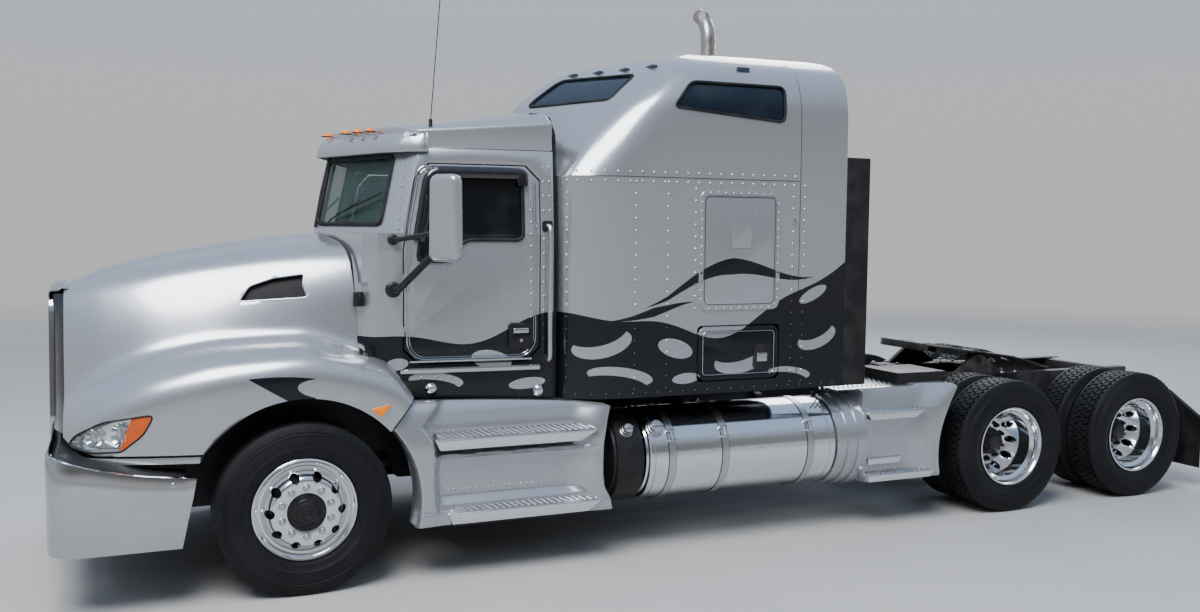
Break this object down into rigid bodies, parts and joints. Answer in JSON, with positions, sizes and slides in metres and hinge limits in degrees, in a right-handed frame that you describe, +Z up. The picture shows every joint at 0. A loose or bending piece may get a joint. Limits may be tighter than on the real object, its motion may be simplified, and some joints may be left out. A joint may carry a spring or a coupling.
{
  "type": "conventional tractor unit with a raised-roof sleeper",
  "caption": "Three-axle road tractor with a long sloping hood, raised-roof sleeper, round side tanks, step fairings and a fifth wheel over twin drive axles.",
  "frame": {"origin": "on the ground, below the middle of the truck's length and width", "axes": "+X ahead, +Y to the truck's left, +Z up"},
  "size_m": [8.7, 3.0368, 4.0844],
  "materials": {
    "paint_silver": "metallic silver clear coat with a black lower band",
    "chrome": "polished",
    "polished_aluminium": "polished",
    "frame_black": "satin black",
    "cast_black": "painted black, dusty",
    "engine_grey": "painted",
    "tyre": "matt",
    "rubber": "matt",
    "glass_tinted": "clear, green tint",
    "glass_dark": "dark smoked",
    "lamp_clear": "clear lens with an amber rear corner",
    "plastic_black": "grained",
    "interior_grey": "grained",
    "seat_cloth": "woven",
    "stack_metal": "weathered",
    "steel": "machined"
  },
  "bodies": {
    "chassis": {"frame": "frame_black", "front_bumper": "chrome", "engine_block": "engine_grey", "radiator": "frame_black", "front_axle": "cast_black", "drive_axles": "cast_black", "driveshafts": "steel", "cab_shell": "paint_silver", "cab_roof": "paint_silver", "cab_seal": "rubber", "windshield": "glass_tinted", "sun_visor": "paint_silver", "sleeper_shell": "paint_silver", "sleeper_roof": "paint_silver", "rear_fairing": "paint_silver", "sleeper_glass": "glass_dark", "side_extenders": "rubber", "side_steps": "paint_silver", "rear_steps": "paint_silver", "fuel_tanks": "polished_aluminium", "exhaust_stack": "stack_metal", "mirrors": "paint_silver", "antenna": "plastic_black", "grab_handles": "chrome", "dashboard": "interior_grey", "steering_wheel": "plastic_black", "seats": "seat_cloth", "bunk": "seat_cloth", "fifth_wheel_base": "cast_black", "mud_flaps": "rubber"},
    "hood": {"hood": "paint_silver", "grille": "chrome", "headlights": "lamp_clear"},
    "fifth_wheel_plate": {"fifth_wheel_plate": "cast_black"},
    "tie_rod": {"tie_rod": "steel"},
    "knuckle_left": {"knuckle_left": "cast_black"},
    "door_left": {"door_left": "paint_silver", "door_glass_left": "glass_dark"},
    "luggage_door_left": {"luggage_door_left": "paint_silver"},
    "wheel_front_left": {"wheel_front_left": "polished_aluminium", "tyre_front_left": "tyre"},
    "wheels_forward_left": {"wheels_forward_left": "polished_aluminium", "tyres_forward_left": "tyre"},
    "wheels_rear_left": {"wheels_rear_left": "polished_aluminium", "tyres_rear_left": "tyre"},
    "knuckle_right": {"knuckle_right": "cast_black"},
    "door_right": {"door_right": "paint_silver", "door_glass_right": "glass_dark"},
    "luggage_door_right": {"luggage_door_right": "paint_silver"},
    "wheel_front_right": {"wheel_front_right": "polished_aluminium", "tyre_front_right": "tyre"},
    "wheels_forward_right": {"wheels_forward_right": "polished_aluminium", "tyres_forward_right": "tyre"},
    "wheels_rear_right": {"wheels_rear_right": "polished_aluminium", "tyres_rear_right": "tyre"}
  },
  "joints": [
    {"name": "hood_tilt", "type": "hinge", "parent": "chassis", "child": "hood", "pos_m": [4.27, 0, 0.93], "axis": [0, 1, 0], "range_deg": [0, 55]},
    {"name": "fifth_wheel_tilt", "type": "hinge", "parent": "chassis", "child": "fifth_wheel_plate", "pos_m": [-2.63, 0, 1.075], "axis": [0, 1, 0], "range_deg": [0, 20]},
    {"name": "steer_left", "type": "hinge", "parent": "chassis", "child": "knuckle_left", "pos_m": [2.97, 0.86, 0.505], "axis": [0, 0, 1], "range_deg": [-38, 38]},
    {"name": "spin_front_left", "type": "hinge", "parent": "knuckle_left", "child": "wheel_front_left", "pos_m": [2.97, 1.035, 0.505], "axis": [0, 1, 0], "continuous": true},
    {"name": "door_left", "type": "hinge", "parent": "chassis", "child": "door_left", "pos_m": [2.349, 0.95098, 1.9], "axis": [0, 0, -1], "range_deg": [0, 60]},
    {"name": "luggage_door_left", "type": "hinge", "parent": "chassis", "child": "luggage_door_left", "pos_m": [0.448, 1.19, 1.32], "axis": [0, 0, -1], "range_deg": [0, 90]},
    {"name": "spin_forward_left", "type": "hinge", "parent": "chassis", "child": "wheels_forward_left", "pos_m": [-2.29, 0.909, 0.505], "axis": [0, 1, 0], "continuous": true},
    {"name": "spin_rear_left", "type": "hinge", "parent": "chassis", "child": "wheels_rear_left", "pos_m": [-3.61, 0.909, 0.505], "axis": [0, 1, 0], "continuous": true},
    {"name": "steer_right", "type": "hinge", "parent": "chassis", "child": "knuckle_right", "pos_m": [2.97, -0.86, 0.505], "axis": [0, 0, 1], "range_deg": [-38, 38]},
    {"name": "spin_front_right", "type": "hinge", "parent": "knuckle_right", "child": "wheel_front_right", "pos_m": [2.97, -1.035, 0.505], "axis": [0, 1, 0], "continuous": true},
    {"name": "door_right", "type": "hinge", "parent": "chassis", "child": "door_right", "pos_m": [2.349, -0.95098, 1.9], "axis": [0, 0, 1], "range_deg": [0, 60]},
    {"name": "luggage_door_right", "type": "hinge", "parent": "chassis", "child": "luggage_door_right", "pos_m": [0.448, -1.19, 1.32], "axis": [0, 0, 1], "range_deg": [0, 90]},
    {"name": "spin_forward_right", "type": "hinge", "parent": "chassis", "child": "wheels_forward_right", "pos_m": [-2.29, -0.909, 0.505], "axis": [0, 1, 0], "continuous": true},
    {"name": "spin_rear_right", "type": "hinge", "parent": "chassis", "child": "wheels_rear_right", "pos_m": [-3.61, -0.909, 0.505], "axis": [0, 1, 0], "continuous": true},
    {"name": "tie_rod_pivot", "type": "hinge", "parent": "knuckle_left", "child": "tie_rod", "pos_m": [2.77, 0.86, 0.36], "axis": [0, 0, 1], "range_deg": [-38, 38]}
  ],
  "couplings": [
    {"joint": "steer_right", "follows": "steer_left", "ratio": 1},
    {"joint": "tie_rod_pivot", "follows": "steer_left", "ratio": -1}
  ]
}
